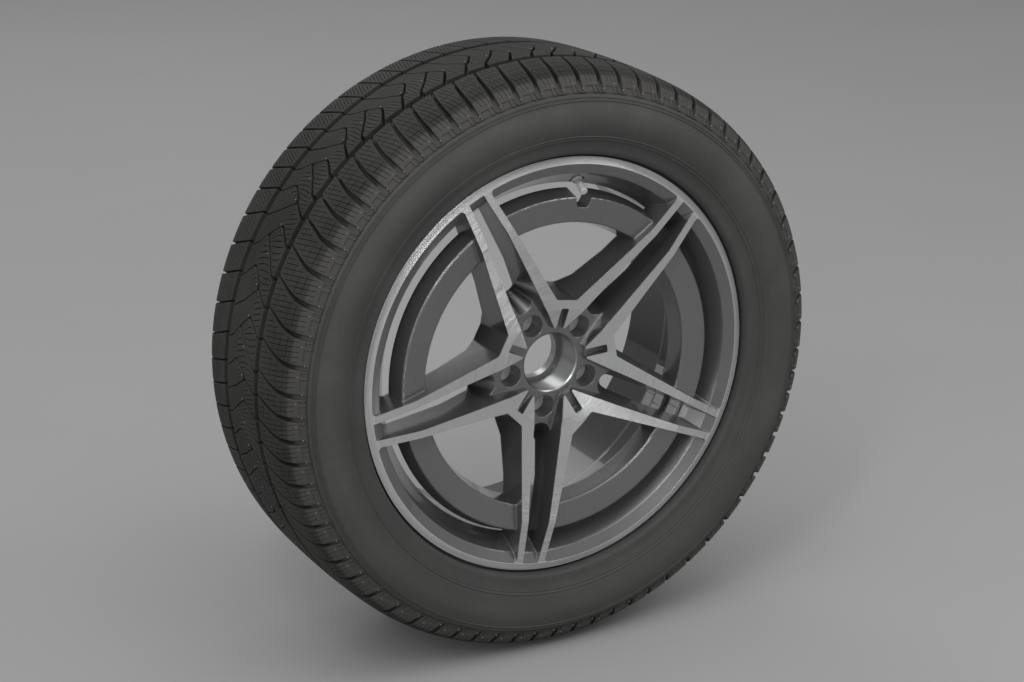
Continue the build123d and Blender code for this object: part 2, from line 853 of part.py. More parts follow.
shapes = {
    "alloy_wheel": build_wheel(),
    "tyre": build_tyre(),
    "valve_stem": valve_plane * build_stem(),
    "valve_grommet": valve_plane * build_grommet(),
    "valve_washer": valve_plane * tube_between(washer_radius, stem_radius, 0, washer_thickness),
    "valve_nut": valve_plane * build_nut(),
    "valve_core_body": valve_plane * build_core_body(),
    "valve_core_packing": valve_plane * build_packing(),
    "valve_core_seal": valve_plane * tube_between(core_seal_radius, pin_radius, seal_low, core_low),
    "valve_core_pin": valve_plane * build_pin(),
    "valve_core_spring": valve_plane * build_spring(),
    "valve_cap": valve_plane * build_cap(),
    "valve_cap_seal": valve_plane * build_cap_seal(),
    "pressure_sensor": valve_plane * build_sensor(),
    "sensor_screw": valve_plane * build_screw(),
}
for row in weight_row_outboards:
    shapes[f"weight_{row}"], shapes[f"weight_tape_{row}"] = weight_strip(row)

for node, shape in shapes.items():
    export_step(shape, f"parts/{node}.step")
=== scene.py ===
import json

import bpy
import numpy as np
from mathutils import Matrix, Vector


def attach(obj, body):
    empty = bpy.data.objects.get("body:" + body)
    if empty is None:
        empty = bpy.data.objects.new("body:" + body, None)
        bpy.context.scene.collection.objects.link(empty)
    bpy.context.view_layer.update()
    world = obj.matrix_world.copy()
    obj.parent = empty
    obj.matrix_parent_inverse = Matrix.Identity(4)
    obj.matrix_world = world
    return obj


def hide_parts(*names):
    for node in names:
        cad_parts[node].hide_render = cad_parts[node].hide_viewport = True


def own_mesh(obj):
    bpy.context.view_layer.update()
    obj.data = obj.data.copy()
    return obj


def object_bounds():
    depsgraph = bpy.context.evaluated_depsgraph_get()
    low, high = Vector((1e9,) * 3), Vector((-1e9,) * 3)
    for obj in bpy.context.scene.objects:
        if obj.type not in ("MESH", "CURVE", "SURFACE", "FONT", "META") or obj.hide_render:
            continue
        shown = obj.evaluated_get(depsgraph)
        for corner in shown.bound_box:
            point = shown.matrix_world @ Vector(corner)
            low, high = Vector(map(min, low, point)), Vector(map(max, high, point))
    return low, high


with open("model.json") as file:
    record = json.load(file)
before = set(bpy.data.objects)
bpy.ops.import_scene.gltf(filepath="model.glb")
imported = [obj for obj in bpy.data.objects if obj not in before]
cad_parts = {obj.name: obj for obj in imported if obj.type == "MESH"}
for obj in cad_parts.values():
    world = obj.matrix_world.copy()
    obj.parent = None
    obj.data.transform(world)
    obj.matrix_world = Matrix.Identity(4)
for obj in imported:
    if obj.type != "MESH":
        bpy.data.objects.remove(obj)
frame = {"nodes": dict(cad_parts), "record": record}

cad_low, cad_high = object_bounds()
nodes = frame["nodes"]
MM = 0.001
WELD_REACH = 0.01 * MM

# Half of the tyre's section, from the rim's lip to the middle of the tread:
# way along the section, radius and distance towards the outer face, in millimetres.
HALF_SECTION = np.array(
    [
        (0, 262.0, 116.0),
        (7, 266.0, 121.4),
        (19, 278.0, 123.6),
        (37, 294.0, 130.2),
        (53, 310.0, 133.0),
        (74, 330.0, 129.3),
        (94, 347.0, 118.3),
        (106, 356.5, 110.8),
        (119, 363.0, 99.6),
        (134, 366.2, 85.0),
        (174, 368.3, 45.0),
        (219, 369.0, 0.0),
    ]
)
SECTION_STEP = 0.25
TREAD_MIDDLE = HALF_SECTION[-1, 0]
GROOVE_DEPTH = 8.2
# The walls of the blocks reach a little below the grooves' bottom.
BLOCK_FOOT = -GROOVE_DEPTH - 0.6


def section_table():
    """The whole section as dense columns: way, radius, outboard distance and the normal's two parts.

    A cubic Hermite curve runs through the stations, its slope at each one the chord between its
    neighbours; the normal is the tangent turned by a quarter."""
    mirrored = HALF_SECTION[-2::-1] * (1, 1, -1)
    mirrored[:, 0] = 2 * TREAD_MIDDLE - mirrored[:, 0]
    stations = np.vstack([HALF_SECTION, mirrored])
    knot, points = stations[:, 0], stations[:, 1:]
    slope = np.gradient(points, axis=0) / np.gradient(knot)[:, None]
    way = np.arange(0, knot[-1] + SECTION_STEP, SECTION_STEP)
    i = np.clip(np.searchsorted(knot, way, side="right") - 1, 0, len(knot) - 2)
    span = (knot[i + 1] - knot[i])[:, None]
    t = ((way - knot[i])[:, None]) / span
    curve = (
        (2 * t**3 - 3 * t**2 + 1) * points[i]
        + (t**3 - 2 * t**2 + t) * span * slope[i]
        + (3 * t**2 - 2 * t**3) * points[i + 1]
        + (t**3 - t**2) * span * slope[i + 1]
    )
    tangent = np.gradient(curve, axis=0)
    tangent /= np.linalg.norm(tangent, axis=1)[:, None]
    return np.column_stack([way, curve, -tangent[:, 1], tangent[:, 0]])


SECTION = section_table()


def section_at(way, height):
    """Radius and outboard distance at a way along the section, raised by a height along the normal."""
    known, *columns = SECTION.T
    radius, outboard, normal_r, normal_w = (np.interp(way, known, column) for column in columns)
    return radius + height * normal_r, outboard + height * normal_w


def degrees_per_mm(way):
    """How far one millimetre round the tyre turns, in degrees, at a way along the section."""
    return np.degrees(1 / section_at(way, 0)[0])


def full_turn(steps):
    """Equal steps of one whole turn, in radians."""
    return np.arange(steps) * 2 * np.pi / steps


def round_axle(angle, radius, outboard):
    """Points in metres from an angle about the axle in degrees and two sizes in millimetres.

    The angle turns the radius from x towards z, and the outboard distance goes against y."""
    turn = np.radians(angle)
    parts = np.broadcast_arrays(radius * np.cos(turn), -outboard, radius * np.sin(turn))
    return np.stack(parts, -1) * MM


def grid_quads(rows, columns, close_rows=False, close_columns=False):
    """Quads of a grid of points numbered row by row; either way round may be closed."""
    last_row = rows if close_rows else rows - 1
    last_column = columns if close_columns else columns - 1
    r, c = np.meshgrid(np.arange(last_row), np.arange(last_column), indexing="ij")
    r2, c2 = (r + 1) % rows, (c + 1) % columns
    corners = [r * columns + c, r * columns + c2, r2 * columns + c2, r2 * columns + c]
    return np.stack(corners, -1).reshape(-1, 4)


def repeated(faces, copies, points_each):
    """The faces of one copy, numbered on for each further copy."""
    first = np.arange(copies)[:, None, None] * points_each
    return (faces[None] + first).reshape(-1, faces.shape[1])


def joined(parts):
    """Several lists of points and faces as one."""
    starts = np.cumsum([0] + [len(points) for points, _ in parts])
    faces = [faces + start for (_, faces), start in zip(parts, starts)]
    return np.vstack([points for points, _ in parts]), np.vstack(faces)


def welded(points, faces):
    """Points that lie together within the weld's reach become one."""
    keys = np.round(points / WELD_REACH).astype(np.int64)
    _, first, where = np.unique(keys, axis=0, return_index=True, return_inverse=True)
    return points[first], where.reshape(-1)[faces]


def make_piece(name, points, faces, material, smooth_angle=35.0, caps=()):
    """A mesh object at the origin from points, quads and many-sided caps, sharp past the given angle."""
    mesh = bpy.data.meshes.new(name)
    mesh.from_pydata(points.tolist(), [], faces.tolist() + list(caps))
    mesh.validate()
    mesh.polygons.foreach_set("use_smooth", np.ones(len(mesh.polygons), bool))
    mesh.set_sharp_from_angle(angle=np.radians(smooth_angle))
    mesh.materials.append(material)
    piece = bpy.data.objects.new(name, mesh)
    bpy.context.scene.collection.objects.link(piece)
    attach(piece, "wheel")
    return piece


class Wire:
    """A shader socket: Python operators on it add Math nodes to its tree."""

    def __init__(self, tree, socket=None):
        self.tree, self.socket = tree, socket

    def node(self, kind, settings=None, inputs=None, output=0):
        """A node of any type: its settings first, then the values or links of its sockets."""
        made = self.tree.nodes.new(kind)
        for name, value in (settings or {}).items():
            setattr(made, name, value)
        for name, value in (inputs or {}).items():
            if isinstance(value, Wire):
                self.tree.links.new(value.socket, made.inputs[name])
            else:
                made.inputs[name].default_value = value
        return Wire(self.tree, made.outputs[output])

    def math(self, operation, *values):
        """One Math node on values or links."""
        return self.node("ShaderNodeMath", {"operation": operation}, dict(enumerate(values)))

    def vector(self, operation, *values, output="Vector", **named):
        """One Vector Math node on values or links."""
        inputs = {**dict(enumerate(values)), **named}
        return self.node("ShaderNodeVectorMath", {"operation": operation}, inputs, output)

    def __add__(self, other):
        return self.math("ADD", self, other)

    __radd__ = __add__

    def __sub__(self, other):
        return self.math("SUBTRACT", self, other)

    def __rsub__(self, other):
        return self.math("SUBTRACT", other, self)

    def __mul__(self, other):
        return self.math("MULTIPLY", self, other)

    __rmul__ = __mul__

    def __lt__(self, other):
        return self.math("LESS_THAN", self, other)

    def __gt__(self, other):
        return self.math("GREATER_THAN", self, other)

    def __or__(self, other):
        return self.math("MAXIMUM", self, other)

    def size(self):
        """The value without its sign."""
        return self.math("ABSOLUTE", self)

    def step(self, low, high):
        """0 below low, 1 above high, smooth between."""
        inputs = {"Value": self, "From Min": low, "From Max": high}
        return self.node("ShaderNodeMapRange", {"interpolation_type": "SMOOTHSTEP"}, inputs)

    def noise(self, scale, detail=2.0, roughness=0.5):
        """Noise on this vector."""
        inputs = {"Vector": self, "Scale": scale, "Detail": detail, "Roughness": roughness}
        return self.node("ShaderNodeTexNoise", None, inputs)

    def mix(self, low, high):
        """The colour between two colours at this factor, by the places of a Mix node's colour sockets."""
        return self.node("ShaderNodeMix", {"data_type": "RGBA"}, {0: self, 6: low, 7: high}, output=2)

    def bump(self, strength, distance):
        """A normal from this height."""
        inputs = {"Strength": strength, "Distance": distance, "Height": self}
        return self.node("ShaderNodeBump", None, inputs)


def grey(value):
    """A neutral colour."""
    return (value, value, value, 1.0)


def new_material(name):
    """An empty node material: its tree as a wire, and its output node."""
    material = bpy.data.materials.new(name)
    material.use_nodes = True
    material.node_tree.nodes.clear()
    output = material.node_tree.nodes.new("ShaderNodeOutputMaterial")
    return material, Wire(material.node_tree), output


def surface(wire, **inputs):
    """A Principled shader with the given sockets."""
    named = {name.replace("_", " "): value for name, value in inputs.items()}
    return wire.node("ShaderNodeBsdfPrincipled", None, named)


def object_spot(wire):
    """Object coordinates, which are the part's own frame in metres."""
    return wire.node("ShaderNodeTexCoord", output="Object")


def place(wire):
    """Object coordinates, radius about the axle and outboard distance in millimetres, and the angle."""
    spot = object_spot(wire)
    split = wire.node("ShaderNodeSeparateXYZ", None, {0: spot})
    x, y, z = (Wire(wire.tree, socket) for socket in split.socket.node.outputs)
    radius = wire.math("SQRT", x * x + z * z) * (1 / MM)
    return spot, radius, y * (-1 / MM), wire.math("ARCTAN2", z, x)


# Where the tyre is lighter, each as the start and end of a smooth step in millimetres: at the tread's
# edges, with dust and a painted sheen, by outboard distance and radius, and on the sidewall's flank, with
# more dust, by its two ends' radii.
DUST_AND_SHEEN_OUTBOARD, DUST_AND_SHEEN_RADIUS = (107.0, 114.0), (338.0, 344.0)
FLANK_INNER, FLANK_OUTER = (292.0, 312.0), (326.0, 332.0)


def rubber(name, base, dust_and_sheen_colour, roughness, dust_and_sheen_edge=0.0):
    """Tyre rubber: an even dark tone, faint stains, dust in patches and a fine grain.

    The dust is thicker on the sidewall's flank. At the tread's edges, by the given share, the rubber is
    lighter with dust and a painted sheen."""
    material, wire, output = new_material(name)
    spot, radius, outboard, _ = place(wire)
    patch = spot.noise(7.0, 4.0, 0.6).step(0.4, 0.7)
    fine = spot.noise(160.0, 3.0, 0.6)
    grain = spot.noise(900.0, 2.0, 0.6)
    # The tread's edges: dust and a painted sheen, lighter where the shoulder would catch the light.
    edge = outboard.size().step(*DUST_AND_SHEEN_OUTBOARD) * radius.step(*DUST_AND_SHEEN_RADIUS)
    flank = radius.step(*FLANK_INNER) * (1 - radius.step(*FLANK_OUTER))
    dust_and_sheen = patch * 0.5 + fine.step(0.45, 0.75) * 0.2 + flank * 0.3
    dust_and_sheen = dust_and_sheen + edge * dust_and_sheen_edge * (0.4 + fine * 0.8)
    shader = surface(
        wire,
        Base_Color=dust_and_sheen.mix(base, dust_and_sheen_colour),
        Roughness=roughness + patch * 0.1 + fine * 0.08,
        Specular_IOR_Level=0.32,
        Normal=(grain * 0.5 + fine).bump(strength=0.25, distance=0.6 * MM),
    )
    wire.tree.links.new(shader.socket, output.inputs["Surface"])
    return material


# The machined face of the spokes and the lip: outboard distance = the least of these lines,
# each given by a radius, the outboard distance there and the rise per millimetre of radius.
FACE_LINES = (
    (71.3, 106.8, (106.8 - 100.3) / (71.3 - 46.0)),
    (71.3, 106.8, (120.3 - 106.8) / (196.6 - 71.3)),
    (196.6, 120.3, (115.0 - 120.3) / (252.4 - 196.6)),
    (252.4, 115.0, (112.0 - 115.0) / (261.0 - 252.4)),
)
# Bare metal in millimetres: the machined face's skin, the radius outside which the lip is duller, and the
# radius and outboard distance below which the hub's bore and, about a bolt's axis, the bolt's seat lie.
FACE_SKIN, LIP_RADIUS = 0.22, 250.0
BORE_RADIUS, BORE_OUTBOARD = 39.6, 91.4
SEAT_RADIUS, SEAT_OUTBOARD = 14.1, 66.3
# The bolts: how many, their circle's radius and the first one's angle.
BOLTS, BOLT_CIRCLE, FIRST_BOLT = 5, 56.0, np.radians(44.7)
# The valve, in metres: the middle of its seat in the rim, the seat's reach, and the way its stem points.
VALVE_SEAT = (0.03733, -0.082, 0.227964)
VALVE_REACH = 12.5 * MM
VALVE_AXIS = (-0.076863, -0.879649, -0.469372)
# Turning marks: how many to a millimetre of radius in the tone and in the grooves, and to a radian round
# the axle, and how much the grooves tilt the normal.
TONE_MARKS, GROOVE_MARKS, ROUND_MARKS = 2.2, 8.0, 1.5
GROOVE_TILT = 2.8
# Painted shade: the paint's colour gets darker inwards, into the barrel, between these outboard distances;
# its edges look rounded by this radius.
PAINTED_SHADE_DEPTH, PAINT_ROUNDING = (35.0, 95.0), 2.8 * MM


def turning_marks(wire, radius, turn, per_mm):
    """A vector for noise in rings: it runs fast along the radius and slowly round the axle."""
    return wire.node("ShaderNodeCombineXYZ", None, {"X": radius * per_mm, "Y": turn * ROUND_MARKS})


def wheel_finish():
    """Dark metallic paint under a clear coat, and bare metal on the front faces, the bore and the seats.

    The front faces have fine turned grooves: noise in rings tilts their normal along the radius. The
    distance from the nearest bolt's axis follows from the law of cosines."""
    material, wire, output = new_material("wheel_finish")
    spot, radius, outboard, turn = place(wire)
    lines = [(radius - r0) * rise + w0 for r0, w0, rise in FACE_LINES]
    face = lines[0]
    for line in lines[1:]:
        face = wire.math("MINIMUM", face, line)
    front = (outboard - face).size() < FACE_SKIN
    bore = (radius < BORE_RADIUS) * (outboard < BORE_OUTBOARD)
    fifth = (turn - FIRST_BOLT) * (BOLTS / (2 * np.pi))
    aside = (fifth - wire.math("ROUND", fifth)) * (2 * np.pi / BOLTS)
    along = radius * wire.math("COSINE", aside)
    from_bolt_squared = radius * radius + BOLT_CIRCLE**2 - along * (2 * BOLT_CIRCLE)
    bolt_seat = (from_bolt_squared < SEAT_RADIUS**2) * (outboard < SEAT_OUTBOARD)
    valve_seat = wire.vector("DISTANCE", spot, VALVE_SEAT, output="Value") < VALVE_REACH
    seats = bolt_seat | valve_seat

    flake = spot.noise(2600.0, 1.0)
    cloud = spot.noise(9.0, 3.0)
    # Painted shade: the colour darkens inwards into the barrel behind the spokes, to a fifth at the
    # deepest.
    tone = (cloud * 0.2 + flake * 0.3 + 0.5) * (outboard.step(*PAINTED_SHADE_DEPTH) * 0.8 + 0.2)
    paint = surface(
        wire,
        Base_Color=tone.mix(grey(0.0), grey(0.235)),
        Metallic=0.8,
        Roughness=0.24 + flake * 0.08,
        Coat_Weight=0.8,
        Coat_Roughness=0.05,
        Normal=wire.node("ShaderNodeBevel", {"samples": 6}, {"Radius": PAINT_ROUNDING}),
    )

    rings = turning_marks(wire, radius, turn, TONE_MARKS).noise(1.0, 3.0, 0.65)
    groove = turning_marks(wire, radius, turn, GROOVE_MARKS).noise(1.0, 1.0)
    away = wire.vector("NORMALIZE", wire.vector("MULTIPLY", spot, (1, 0, 1)))
    tilt = wire.vector("SCALE", away, Scale=(groove - 0.5) * front * GROOVE_TILT)
    straight = wire.node("ShaderNodeNewGeometry", output="Normal")
    shine = rings * 0.26 + 0.35 + bolt_seat * 0.5 - bore * 0.25
    bare = surface(
        wire,
        Base_Color=shine.mix((0.2, 0.202, 0.205, 1), (0.86, 0.87, 0.88, 1)),
        Metallic=0.72 + bore * 0.28 - seats * 0.6 - (radius > LIP_RADIUS) * 0.25,
        Roughness=0.2 + rings * 0.08 + bore * 0.05 + seats * 0.1,
        Normal=wire.vector("NORMALIZE", wire.vector("ADD", straight, tilt)),
    )
    both = wire.node("ShaderNodeMixShader", None, {0: front | bore | seats, 1: paint, 2: bare})
    wire.tree.links.new(both.socket, output.inputs["Surface"])
    return material


def metal(name, colour, roughness, grain=500.0, metallic=1.0):
    """Bare or plated metal, or plastic, with a fine uneven grain."""
    material, wire, output = new_material(name)
    spot = object_spot(wire)
    speck = spot.noise(grain, 3.0, 0.6)
    stain = spot.noise(60.0, 3.0, 0.6)
    dark = tuple(c * 0.78 for c in colour) + (1.0,)
    shader = surface(
        wire,
        Base_Color=stain.mix(dark, colour + (1.0,)),
        Metallic=metallic,
        Roughness=roughness + speck * 0.12,
        Normal=speck.bump(strength=0.3, distance=0.08 * MM),
    )
    wire.tree.links.new(shader.socket, output.inputs["Surface"])
    return material


tread_rubber = rubber(
    "tread_rubber",
    base=(0.02, 0.0197, 0.0185, 1),
    dust_and_sheen_colour=(0.056, 0.0545, 0.05, 1),
    roughness=0.66,
    # Dust and a painted sheen make the tread's edges lighter by this share.
    dust_and_sheen_edge=2.2,
)
side_rubber = rubber(
    "side_rubber",
    base=(0.045, 0.045, 0.0435, 1),
    dust_and_sheen_colour=(0.075, 0.0745, 0.072, 1),
    roughness=0.48,
)
finishes = {
    "wheel_paint": wheel_finish(),
    "tyre_rubber": side_rubber,
    "seal_rubber": rubber("seal_rubber", grey(0.018), grey(0.03), 0.55),
    "valve_metal": metal("valve_metal", (0.72, 0.72, 0.71), 0.34, metallic=0.5),
    "core_brass": metal("core_brass", (0.62, 0.47, 0.22), 0.3),
    "spring_steel": metal("spring_steel", (0.5, 0.5, 0.5), 0.3),
    "cap_metal": metal("cap_metal", (0.8, 0.8, 0.79), 0.34, metallic=0.5),
    "weight_steel": metal("weight_steel", (0.5, 0.5, 0.5), 0.42, grain=260.0),
    "sensor_plastic": metal("sensor_plastic", (0.03, 0.03, 0.032), 0.5, grain=800.0, metallic=0.0),
    "tape": metal("tape", (0.6, 0.6, 0.58), 0.7, grain=300.0, metallic=0.0),
}
slot_of = {part["node"]: part["material_slot"] for part in frame["record"]["subparts"]}
for node, shown in nodes.items():
    shown.data.materials.clear()
    shown.data.materials.append(finishes[slot_of[node]])

# Pitches of the tread round the tyre: runs of short ones (0) and long ones (1), with relative sizes.
# The first has the number -2, so that number 0 starts the first group of three in the middle band.
PITCH_RUNS = ((7, 0), (5, 1), (9, 0), (4, 1), (12, 0), (5, 1), (6, 0), (7, 1), (17, 0))
SHORT_PITCH, LONG_PITCH = 4.627, 5.905
FIRST_PITCH, FIRST_ANGLE = -2, 113.1
is_long = np.concatenate([[kind] * count for count, kind in PITCH_RUNS]).astype(bool)
PITCHES = len(is_long)
pitch_size = np.where(is_long, LONG_PITCH, SHORT_PITCH)
pitch_size = pitch_size * 360 / pitch_size.sum()
pitch_start = FIRST_ANGLE + np.concatenate([[0], np.cumsum(pitch_size)[:-1]])
three_turns = np.concatenate([pitch_start - 360, pitch_start, pitch_start + 360])
pitch_number = FIRST_PITCH + np.arange(-PITCHES, 2 * PITCHES)


def turn_at(pitch):
    """The angle in degrees at a pitch number, which need not be whole."""
    return np.interp(pitch, pitch_number, three_turns)


# The tyre's body: rows of the plain sidewall, and its fine ribs near the bead and near the shoulder with
# the dip between them, each by ways along the section and heights. It dives under the blocks between two
# ways, from the depth of the recesses in the blocks' feet to the bottom of the grooves.
PLAIN_ROWS = np.concatenate([[8, 11, 14, 18, 22], np.arange(32, 73, 3.0), [82, 84, 86, 90, 94, 98]])
BEAD_RIBS = (
    [24.5, 25.2, 26, 26.8, 27.4, 29.2, 29.8, 30.6, 31.4],
    [0, 0.9, 1.0, 0.9, 0.3, 0.3, 0.9, 1.0, 0],
)
FLANK_DIP = ([60, 70], [0, -1.2])
SHOULDER_RIBS = (
    [74.4, 75, 75.8, 76.4, 78.6, 79.2, 80, 80.6],
    [-1.2, -0.2, -0.2, -1.2, -1.2, -0.2, -0.2, -1.2],
)
DIVE = ([84, 98], [-1.3, -GROOVE_DEPTH])
BASE_START, BASE_STEP = 104, 8.0
BODY_STEPS = 432
# The bead and the inner liner, as radii and outboard distances.
BEAD = [(262, 95), (243.4, 82), (244.4, 99.6), (247.6, 101.2), (252.6, 101.2), (258.2, 103.6)]
BEAD += [(264.4, 106), (264.9, 118.5)]
LINER = [(288, -118), (322, -120), (350, -86), (354, 0), (350, 86), (322, 120), (288, 118)]


def tyre_body():
    """The tyre without its tread blocks: a closed section turned about the axle.

    The outer side follows the section with fine ribs round it, and under the blocks it lies at the
    bottom of the grooves."""
    way = np.sort(np.concatenate([PLAIN_ROWS, BEAD_RIBS[0], SHOULDER_RIBS[0]]))
    rib = np.interp(way, *np.hstack([BEAD_RIBS, FLANK_DIP, SHOULDER_RIBS]))
    rib = np.where(way > DIVE[0][0], np.interp(way, *DIVE), rib)
    near = np.vstack([BEAD, np.stack(section_at(way, rib), -1)])
    base_way = np.arange(BASE_START, 2 * TREAD_MIDDLE - BASE_START + 1, BASE_STEP)
    base = np.stack(section_at(base_way, -GROOVE_DEPTH), -1)
    loop = np.vstack([near, base, near[::-1] * (1, -1), LINER])
    angle = np.arange(BODY_STEPS) * 360 / BODY_STEPS
    points = round_axle(angle[:, None], loop[None, :, 0], loop[None, :, 1])
    return points.reshape(-1, 3), grid_quads(len(angle), len(loop), True, True)


# The shoulder's blocks: rows along the section, the rows of the cuts that run round the tyre, the rows
# that close a block underneath with their heights, and a lateral groove's path as a share of the pitch
# and its half width.
SHOULDER_ROWS = [83, 84.4, 85.4, 86, 86.5, 87.3, 89, 93.4, 94.4, 97, 99, 99.8, 105, 110, 122, 134, 148]
SHOULDER_ROWS += [160, 165.2, 166, 168.4, 169.3, 170]
CROSS_ROWS = np.array([116, 128, 141.7, 155])
CLOSING_ROWS = np.array([(150, -10.0), (96, -10.0), (86, -5.0)])
GROOVE_PATH = ([103, 123, 142, 162, 170], [0.2, 0.146, 0.0, -0.18, -0.26])
GROOVE_HALF = ([86, 86.5, 87.3, 89, 103, 123, 142, 162], [0.7, 1.9, 2.6, 3.2, 3.2, 2.65, 2.25, 1.85])
# Heights by ways: a block's foot at its tabs and at its recesses, the edge at the groove that runs round
# the tyre, and the share of the thin cuts' depth. The grooves' floor has ways only.
TAB = ([83, 84.4, 85.4], [-3.0, -1.3, 0.0])
RECESS = ([83, 84.4, 93.4, 94.4], [-3.0, -1.3, -1.3, 0.0])
INNER_EDGE = ([168.4, 169.3, 170], [0.0, -0.7, BLOCK_FOOT])
CUT_SHARE = ([99, 99.8, 165.2, 166], [0.0, 1.0, 1.0, 0.0])
FLOOR_WAYS = [85.6, 86, 100, 112, 169]
# Columns at a block's foot as shares of its width, and the shares between which it has a recess.
FOOT_FIRST, FOOT_BETWEEN = [0.03, 0.05, 0.185, 0.205, 0.33, 0.35], (0.38, 0.81)
FOOT_LAST = [0.84, 0.86, 0.91, 0.96]
RECESS_SHARES = ((0.04, 0.2), (0.34, 0.85))
# Ways at which the tabs end, the chamfers start, and the tops and the columns of a block's foot end.
TAB_END, CHAMFER_START, FOOT_TOP_END, FOOT_END = 85.5, 86, 94, 96
# Thin cuts: half width, depth, least distance from the block's walls and from each other, the distance
# from there at which they begin, and the way at which they divide the pitch evenly.
CUT_HALF, CUT_DEPTH, CUT_MARGIN, CUT_APART, CUT_BEGIN = 0.42, 2.0, 1.6, 0.06, 0.4
LINES_CENTRE = 138.0
# Cross cuts: half width, and how far past the thin cuts they reach.
CROSS_HALF, CROSS_REACH = 0.6, 1.6
# Walls: the chamfer's drop, and the insets of four columns, which are the groove's middle line, its
# bottom corner and the chamfer's lower and upper edge.
CHAMFER, WALL_INSETS = 0.5, (0.0, -0.35, 0.0, 0.7)
# Outer and inner shoulder: which side, shift in pitches, scale of the groove's width, groove depths at
# ways 86, 100 and 112, spaces between thin cuts in a short and a long pitch, their lean and the depth of
# the cross cuts.
SHOULDERS = {
    "tread_shoulder_outer": (1, 0.0, 1.0, (1.4, 5.0, 7.8), (5, 6), 0.17, 1.5),
    "tread_shoulder_inner": (-1, 0.58, 0.62, (0.7, 1.8, 4.6), (7, 8), 0.3, 0.0),
}


def shoulder_band(style, pitch_is_long):
    """The shoulder's blocks of one pitch length, with the lateral grooves between them.

    Each block is a grid over the way along the section and the angle. The first and last columns
    follow the grooves. The others follow thin cuts that lean the other way, three columns to a cut,
    for its edges and its bottom: each is a straight line, held a little inside the block where it
    would run into a groove. Below the cuts the same columns shape the recesses in the block's foot,
    and the last rows close the block underneath."""
    side, shift, groove_scale, depths, spaces, lean, cross_depth = style
    cross_rows = CROSS_ROWS[:, None] + (-CROSS_HALF, 0.0, CROSS_HALF) if cross_depth else CROSS_ROWS
    top_rows = np.sort(np.concatenate([SHOULDER_ROWS, cross_rows.ravel()]))
    way = np.concatenate([top_rows, CLOSING_ROWS[:, 0]])
    block = FIRST_PITCH + np.flatnonzero(is_long == pitch_is_long)[:, None] + shift
    degree = degrees_per_mm(way)
    path = np.interp(way, *GROOVE_PATH)
    low, high = turn_at(block + path), turn_at(block + 1 + path)
    half = groove_scale * np.interp(way, *GROOVE_HALF) * degree
    wall_low, wall_high = low + half, high - half

    space = spaces[int(pitch_is_long)]
    centre = np.interp(LINES_CENTRE, *GROOVE_PATH)
    first, last = turn_at(block + centre), turn_at(block + 1 + centre)
    share = np.arange(-1, space + 2) / space
    slant = lean * (way - LINES_CENTRE) * degree
    lines = (first + share * (last - first))[:, None, :] + slant[None, :, None]
    lines = lines[..., None] + degree[:, None, None] * (-CUT_HALF, 0.0, CUT_HALF)
    lines = lines.reshape(*low.shape, -1)
    number = np.arange(lines.shape[-1])
    held_low = wall_low[..., None] + (CUT_MARGIN + CUT_APART * number) * degree[:, None]
    held_high = wall_high[..., None] - (CUT_MARGIN + CUT_APART * number[::-1]) * degree[:, None]
    free = np.minimum(lines - held_low, held_high - lines) / degree[:, None]
    lines = np.clip(lines, held_low, held_high)

    between = np.linspace(*FOOT_BETWEEN, len(number) - len(FOOT_FIRST) - len(FOOT_LAST))
    foot = np.concatenate([FOOT_FIRST, between, FOOT_LAST])
    hollow = np.any([(foot > start) & (foot < end) for start, end in RECESS_SHARES], axis=0)
    at_foot = way < FOOT_END
    foot_lines = (wall_low + degree)[..., None] + foot * (wall_high - wall_low - 2 * degree)[..., None]
    lines = np.where(at_foot[:, None], foot_lines, lines)

    tab, recess, edge = (np.interp(way, *table) for table in (TAB, RECESS, INNER_EDGE))
    floor = -np.interp(way, FLOOR_WAYS, [0.0, *depths, GROOVE_DEPTH])
    floor = np.where(way < TAB_END, tab, np.minimum(floor, edge))
    top = np.where(way < FOOT_TOP_END, tab, edge)
    lip = np.where(way > CHAMFER_START, top - CHAMFER, top)
    depth = CUT_DEPTH * np.interp(way, *CUT_SHARE)
    cut = np.clip(free - CUT_BEGIN, 0, 1) * np.where(number % 3 == 1, depth[:, None], 0.0)
    across = np.where(np.isin(way, CROSS_ROWS), cross_depth, 0.0)[:, None]
    across = across * np.clip(free + CROSS_REACH, 0, 1)
    foot_heights = np.where(hollow, recess[:, None], top[:, None])
    heights = np.where(at_foot[:, None], foot_heights, edge[:, None]) - np.maximum(cut, across)

    wall = np.stack([floor, floor, lip, top], -1)
    wall = np.broadcast_to(wall, (len(block), *wall.shape))
    inset = degree[:, None] * WALL_INSETS
    mid_groove = np.arange(len(WALL_INSETS)) == 0
    start = np.where(mid_groove, low[..., None], wall_low[..., None] + inset)
    end = np.where(mid_groove, high[..., None], wall_high[..., None] - inset)
    angle = np.concatenate([start, lines, end[..., ::-1]], -1)
    height = np.concatenate([wall, heights, wall[..., ::-1]], -1)
    height[:, len(top_rows) :] = CLOSING_ROWS[:, 1:]
    radius, outboard = section_at(way[:, None], height)
    points = round_axle(angle, radius, outboard * side)
    blocks, rows, columns = points.shape[:3]
    faces = repeated(grid_quads(rows, columns, True, False), blocks, rows * columns)
    return points.reshape(-1, 3), faces[:, ::side]


